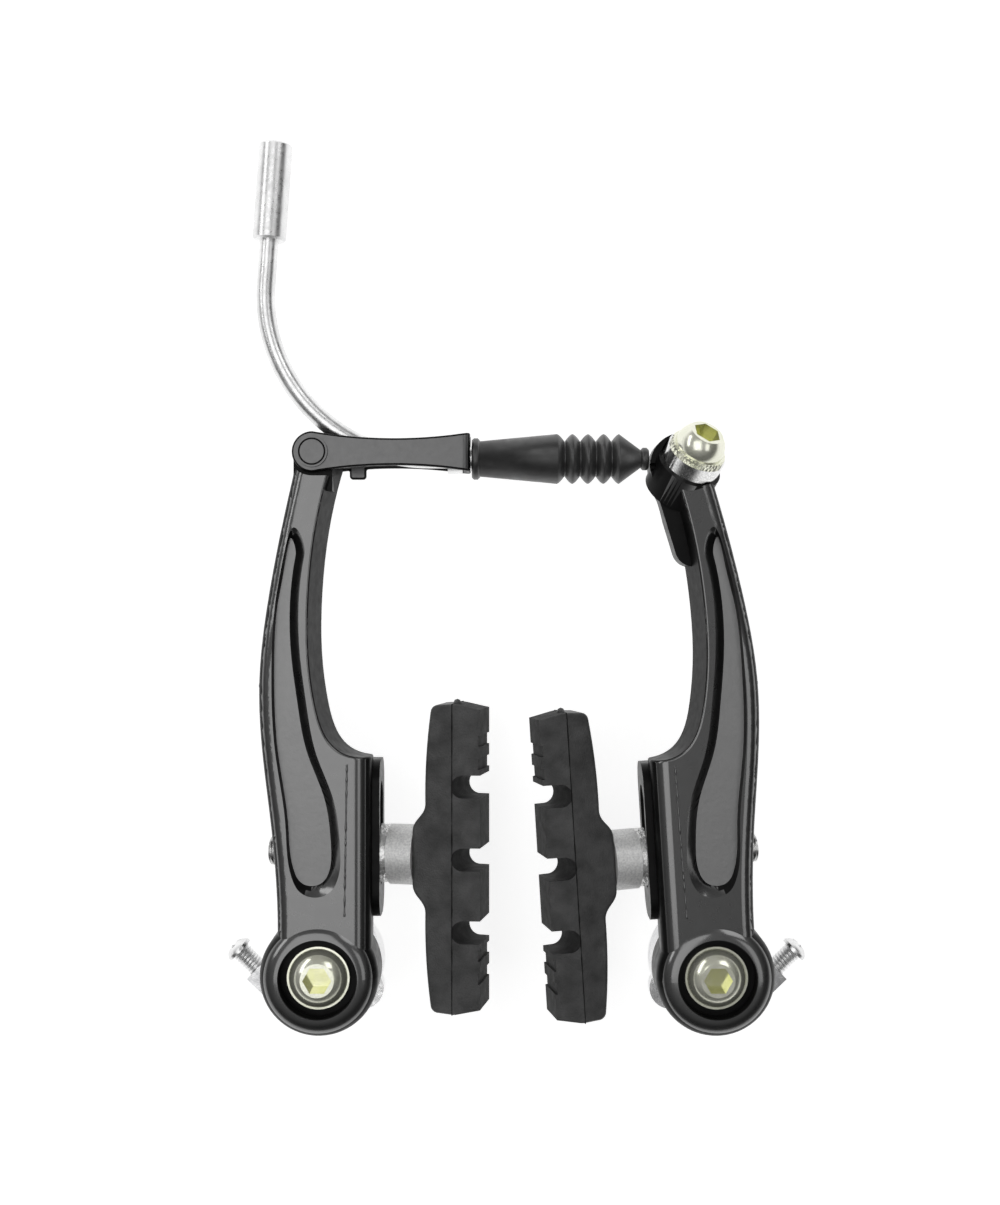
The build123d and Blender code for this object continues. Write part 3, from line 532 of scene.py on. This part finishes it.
def thread(radius, height, pitch, length, sides=28):
    """Crests of a height and pitch along z from 0 to length, on a shank of that radius."""
    mesh = bmesh.new()
    rows = int(length / pitch * THREAD_ROWS)
    grid = []
    for row in range(rows + 1):
        z = length * row / rows
        ring = []
        for step in range(sides):
            phase = (z / pitch - step / sides) % 1
            crest = radius - height / 4 + height * 1.25 * (1 - abs(2 * phase - 1))
            angle = 2 * pi * step / sides
            ring.append(mesh.verts.new((crest * cos(angle), crest * sin(angle), z)))
        grid.append(ring)
    for first, second in zip(grid, grid[1:]):
        for step in range(sides):
            ahead = (step + 1) % sides
            mesh.faces.new((first[step], first[ahead], second[ahead], second[step]))
    return mesh


def standing(origin, way):
    """Places what is made along z on a point, looking along a direction."""
    return Matrix.Translation(origin) @ way.to_track_quat("Z", "Y").to_matrix().to_4x4()


def add_threads():
    for side, place in (("left", LEFT), ("right", RIGHT_FRAME)):
        seat = standing(SCREW_FOOT + SCREW_WAY * SCREW_LUG, SCREW_WAY)
        mesh = thread(SCREW_R, *SCREW_THREAD, SCREW_SHOW)
        add_mesh(side + "_screw_thread", mesh, place @ seat, side + "_screw", "bright_steel")
    for side, place in (("left", LEFT), ("right", RIGHT)):
        seat = TOE @ standing(Vector((STUD_SHOW - STUD_TIP, 0, 0)), Vector((-1, 0, 0)))
        mesh = thread(STUD_R, *STUD_THREAD, STUD_SHOW - STUD_PLAIN)
        add_mesh(side + "_stud_thread", mesh, place @ seat, side + "_pad", "plain_steel")


def ragged(points, radius, amount):
    """A radius for each point, roughened like a line left by a mould."""
    return [radius * (1 + amount * noise.noise(point * MOULD_GRAIN)) for point in points]


def pad_seam():
    """The mould line round a pad."""
    corners = [(-1, -1), (1, -1), (1, 1), (-1, 1)]
    corners = [Vector((PAD_SEAM, y * PAD_HALF_DEPTH, z * PAD_HALF_LENGTH)) for y, z in corners]
    points = []
    for start, end in zip(corners, corners[1:] + corners[:1]):
        points += spread(start, end, SEAM_STEPS)[:-1]
    return tube(points, ragged(points, SEAM_R, 0.8), 6, True)


def pad_nub(end):
    """A nub of flash on the seam, at the low end (-1) or the high end (1) of a pad."""
    points = spread(Vector((PAD_SEAM, -NUB_FRONT, end * PAD_HALF_LENGTH)),
                    Vector((PAD_SEAM, NUB_BACK, end * PAD_HALF_LENGTH)), NUB_STEPS)
    swell = [sin(pi * (index + 0.5) / NUB_STEPS) for index in range(NUB_STEPS)]
    radii = [NUB_R * amount * wild for amount, wild in zip(swell, ragged(points, 1, 0.3))]
    return tube(points, radii, 8)


def add_pad_seams():
    for side, place in (("left", LEFT), ("right", RIGHT)):
        body = side + "_pad"
        seam = add_mesh(side + "_pad_seam", pad_seam(), place @ TOE, body, "pad_rubber")
        # The seam takes the darker rubber, as a painted shade line.
        seam.data.materials[0] = PAD_SHADE_RUBBER
        for end, word in ((-1, "low"), (1, "high")):
            add_mesh(side + "_pad_nub_" + word, pad_nub(end), place @ TOE, body, "pad_rubber")


def add_parting_ridges():
    """The ragged mould line down the front of each arm, from pad boss to pivot boss."""
    for side, place in (("left", LEFT), ("right", RIGHT)):
        points = spread(RIDGE_FOOT, RIDGE_HEAD, RIDGE_STEPS)
        mesh = tube(points, ragged(points, RIDGE_R, 0.5), 6)
        add_mesh(side + "_parting_ridge", mesh, place, side + "_arm", "arm_paint")


def lathe(profile, sides=48):
    """A closed outline of (radius, height) pairs turned about z."""
    mesh = bmesh.new()
    hoops = []
    for step in range(sides):
        angle = 2 * pi * step / sides
        hoops.append([mesh.verts.new((r * cos(angle), r * sin(angle), z)) for r, z in profile])
    for first, second in zip(hoops, hoops[1:] + hoops[:1]):
        for corner in range(len(profile)):
            ahead = (corner + 1) % len(profile)
            mesh.faces.new((first[corner], second[corner], second[ahead], first[ahead]))
    return mesh


def boot_profile(length):
    """From the collar by the link over full ribs with narrow valleys to the tip, and back inside."""
    lip = BOOT_COLLAR / 4
    outline = [(BOOT_BORE, 0), (BOOT_COLLAR_R - lip, 0), (BOOT_COLLAR_R, lip),
               (BOOT_COLLAR_R, BOOT_COLLAR - lip), (BOOT_COLLAR_R - lip, BOOT_COLLAR),
               (BOOT_NECK_R, BOOT_COLLAR)]
    tip = length - BOOT_TIP
    cone = tip - BOOT_CONE
    bellows = cone - BOOT_RINGS * BOOT_PITCH
    for step in range(BOOT_STEPS * BOOT_RINGS + 1):
        depth = 1 - abs(2 * (step / BOOT_STEPS % 1) - 1)
        radius = BOOT_CREST_R - (BOOT_CREST_R - BOOT_VALLEY_R) * depth ** 1.5
        outline.append((radius, bellows + BOOT_PITCH * step / BOOT_STEPS))
    lip = BOOT_TIP / 4
    outline += [(BOOT_CONE_R, tip), (BOOT_TIP_R - lip, tip), (BOOT_TIP_R, tip + lip),
                (BOOT_TIP_R, length - lip), (BOOT_TIP_R - lip, length)]
    return outline + [(BOOT_CABLE_R, length), (BOOT_CABLE_R, tip), (BOOT_BORE, cone)]


def add_boot():
    """The bellows boot, in the place of its plainer solid."""
    corners = [Vector(corner) for corner in frame["nodes"]["cable_boot"].bound_box]
    low = Vector(map(min, zip(*corners)))
    high = Vector(map(max, zip(*corners)))
    middle = (low + high) / 2
    mesh = lathe(boot_profile(high.x - low.x))
    seat = standing(Vector((low.x, middle.y, middle.z)), Vector((1, 0, 0)))
    boot = add_mesh("boot_bellows", mesh, seat, "noodle", "boot_rubber")
    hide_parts("cable_boot")


def serrated_ring(inner, low, high, height, teeth):
    """A ring standing along z, its rim cut into teeth between the low and high radius."""
    mesh = bmesh.new()
    steps = 4 * teeth
    hoops = []
    for step in range(steps):
        angle = 2 * pi * step / steps
        rim = high if step % 4 < 2 else low
        corners = ((inner, 0), (rim, 0), (rim, height), (inner, height))
        hoops.append([mesh.verts.new((r * cos(angle), r * sin(angle), z)) for r, z in corners])
    for first, second in zip(hoops, hoops[1:] + hoops[:1]):
        for side in range(4):
            ahead = (side + 1) % 4
            mesh.faces.new((first[side], second[side], second[ahead], first[ahead]))
    return mesh


def add_anchor_teeth():
    """The serrated flange under the head of the cable bolt."""
    seat = standing(ANCHOR_SEAT + ANCHOR_WAY * ANCHOR_FLANGE, ANCHOR_WAY)
    mesh = serrated_ring(ANCHOR_FLANGE_R - TOOTH_ROOT, ANCHOR_FLANGE_R, ANCHOR_FLANGE_R + TOOTH_HEIGHT,
                         ANCHOR_FLANGE_HEIGHT * TOOTH_SHARE, TEETH)
    teeth = add_mesh("anchor_teeth", mesh, RIGHT @ seat, "right_arm", "yellow_zinc")
    for face in teeth.data.polygons:
        face.use_smooth = False


def round_edges(node_name, width, paint):
    """Roll the sharp edges of a solid; paint is the place of their material among the node's own."""
    node = frame["nodes"][node_name]
    weld = node.modifiers.new("weld", "WELD")
    weld.merge_threshold = MM / 1000
    flat = node.modifiers.new("flat", "DECIMATE")
    flat.decimate_type = "DISSOLVE"
    flat.angle_limit = radians(1)
    edges = node.modifiers.new("edges", "BEVEL")
    edges.width = width
    edges.segments = 3
    edges.limit_method = "ANGLE"
    edges.angle_limit = radians(35)
    edges.material = paint


# Stage
def backdrop():
    """A white sheet that the brake lies on, seen from its front only."""
    sheet = bpy.data.meshes.new("backdrop")
    corners = [(x * SHEET_HALF, SHEET_Y, z * SHEET_HALF) for x, z in ((-1, -1), (1, -1), (1, 1), (-1, 1))]
    sheet.from_pydata(corners, [], [(0, 1, 2, 3)])
    material = bpy.data.materials.new("backdrop")
    material.use_nodes = True
    nodes = material.node_tree.nodes
    links = material.node_tree.links
    nodes.clear()
    diffuse = nodes.new("ShaderNodeBsdfDiffuse")
    diffuse.inputs["Color"].default_value = (SHEET_GREY, SHEET_GREY, SHEET_GREY, 1)
    glow = nodes.new("ShaderNodeEmission")
    glow.inputs["Strength"].default_value = SHEET_GLOW
    both = nodes.new("ShaderNodeAddShader")
    clear = nodes.new("ShaderNodeBsdfTransparent")
    geometry = nodes.new("ShaderNodeNewGeometry")
    pick = nodes.new("ShaderNodeMixShader")
    output = nodes.new("ShaderNodeOutputMaterial")
    links.new(diffuse.outputs[0], both.inputs[0])
    links.new(glow.outputs[0], both.inputs[1])
    links.new(geometry.outputs["Backfacing"], pick.inputs["Fac"])
    links.new(both.outputs[0], pick.inputs[1])
    links.new(clear.outputs[0], pick.inputs[2])
    links.new(pick.outputs[0], output.inputs["Surface"])
    sheet.materials.append(material)
    board = bpy.data.objects.new("backdrop", sheet)
    bpy.context.scene.collection.objects.link(board)


def add_light(name, place, target, size, power):
    lamp = bpy.data.lights.new(name, "AREA")
    lamp.shape = "RECTANGLE"
    lamp.size, lamp.size_y = size
    lamp.energy = power
    light = bpy.data.objects.new(name, lamp)
    light.location = place
    light.rotation_euler = (Vector(target) - Vector(place)).to_track_quat("-Z", "Y").to_euler()
    bpy.context.scene.collection.objects.link(light)


def combine(nodes, links, operation, first, second):
    """One factor made of two by an operation."""
    step = nodes.new("ShaderNodeMath")
    step.operation = operation
    links.new(first, step.inputs[0])
    links.new(second, step.inputs[1])
    return step.outputs["Value"]


def add_world():
    """A white room for the camera, metal and gloss; dim round the camera, and grey for soft light."""
    world = bpy.data.worlds.new("studio")
    bpy.context.scene.world = world
    world.use_nodes = True
    nodes = world.node_tree.nodes
    links = world.node_tree.links
    place = nodes.new("ShaderNodeTexCoord")
    turned_away = nodes.new("ShaderNodeVectorMath")
    turned_away.operation = "DOT_PRODUCT"
    turned_away.inputs[1].default_value = ROOM_DIM_WAY
    shift = nodes.new("ShaderNodeMapRange")
    shift.inputs["From Min"].default_value = -1
    shift.inputs["From Max"].default_value = 1
    ramp = nodes.new("ShaderNodeValToRGB")
    for element, at, grey in zip(ramp.color_ramp.elements, ROOM_GREY_PLACES, ROOM_GREYS):
        element.position = at
        element.color = (grey, grey, grey, 1)
    links.new(place.outputs["Generated"], turned_away.inputs[0])
    links.new(turned_away.outputs["Value"], shift.inputs["Value"])
    links.new(shift.outputs["Result"], ramp.inputs["Fac"])
    links.new(ramp.outputs["Color"], nodes["Background"].inputs["Color"])

    split = nodes.new("ShaderNodeSeparateXYZ")
    past_camera = nodes.new("ShaderNodeMapRange")
    past_camera.inputs["From Min"].default_value = ROOM_WHITE_FROM[0]
    past_camera.inputs["From Max"].default_value = ROOM_WHITE_FROM[1]
    links.new(place.outputs["Generated"], split.inputs["Vector"])
    links.new(split.outputs["Y"], past_camera.inputs["Value"])
    rays = nodes.new("ShaderNodeLightPath")
    glossy = rays.outputs["Is Glossy Ray"]
    mirrored = combine(nodes, links, "MAXIMUM", glossy, rays.outputs["Is Transmission Ray"])
    beside = combine(nodes, links, "MULTIPLY", mirrored, past_camera.outputs["Result"])
    pale = combine(nodes, links, "MAXIMUM", rays.outputs["Is Camera Ray"], beside)
    white = nodes.new("ShaderNodeBackground")
    white.inputs["Color"].default_value = (1, 1, 1, 1)
    pick = nodes.new("ShaderNodeMixShader")
    links.new(pale, pick.inputs["Fac"])
    links.new(nodes["Background"].outputs[0], pick.inputs[1])
    links.new(white.outputs[0], pick.inputs[2])
    links.new(pick.outputs[0], nodes["World Output"].inputs["Surface"])


def add_camera():
    data = bpy.data.cameras.new("camera")
    data.sensor_width = SENSOR
    data.lens = SENSOR * CAMERA_DISTANCE / PHOTO_HEIGHT
    data.clip_start = 0.01
    camera = bpy.data.objects.new("camera", data)
    camera.location = PHOTO_CENTRE - Vector((0, CAMERA_DISTANCE, 0))
    camera.rotation_euler = (radians(90), 0, 0)
    bpy.context.scene.collection.objects.link(camera)
    bpy.context.scene.camera = camera


finish_solids()
add_springs()
add_threads()
add_pad_seams()
add_parting_ridges()
add_anchor_teeth()
add_boot()
# The rolled edges take the link's second material, the dull paint, as painted shade.
round_edges("noodle_link", LINK_ROLL, 1)
backdrop()
for light in LIGHTS:
    add_light(*light)
add_world()
add_camera()
bpy.context.scene.view_settings.view_transform = "Standard"
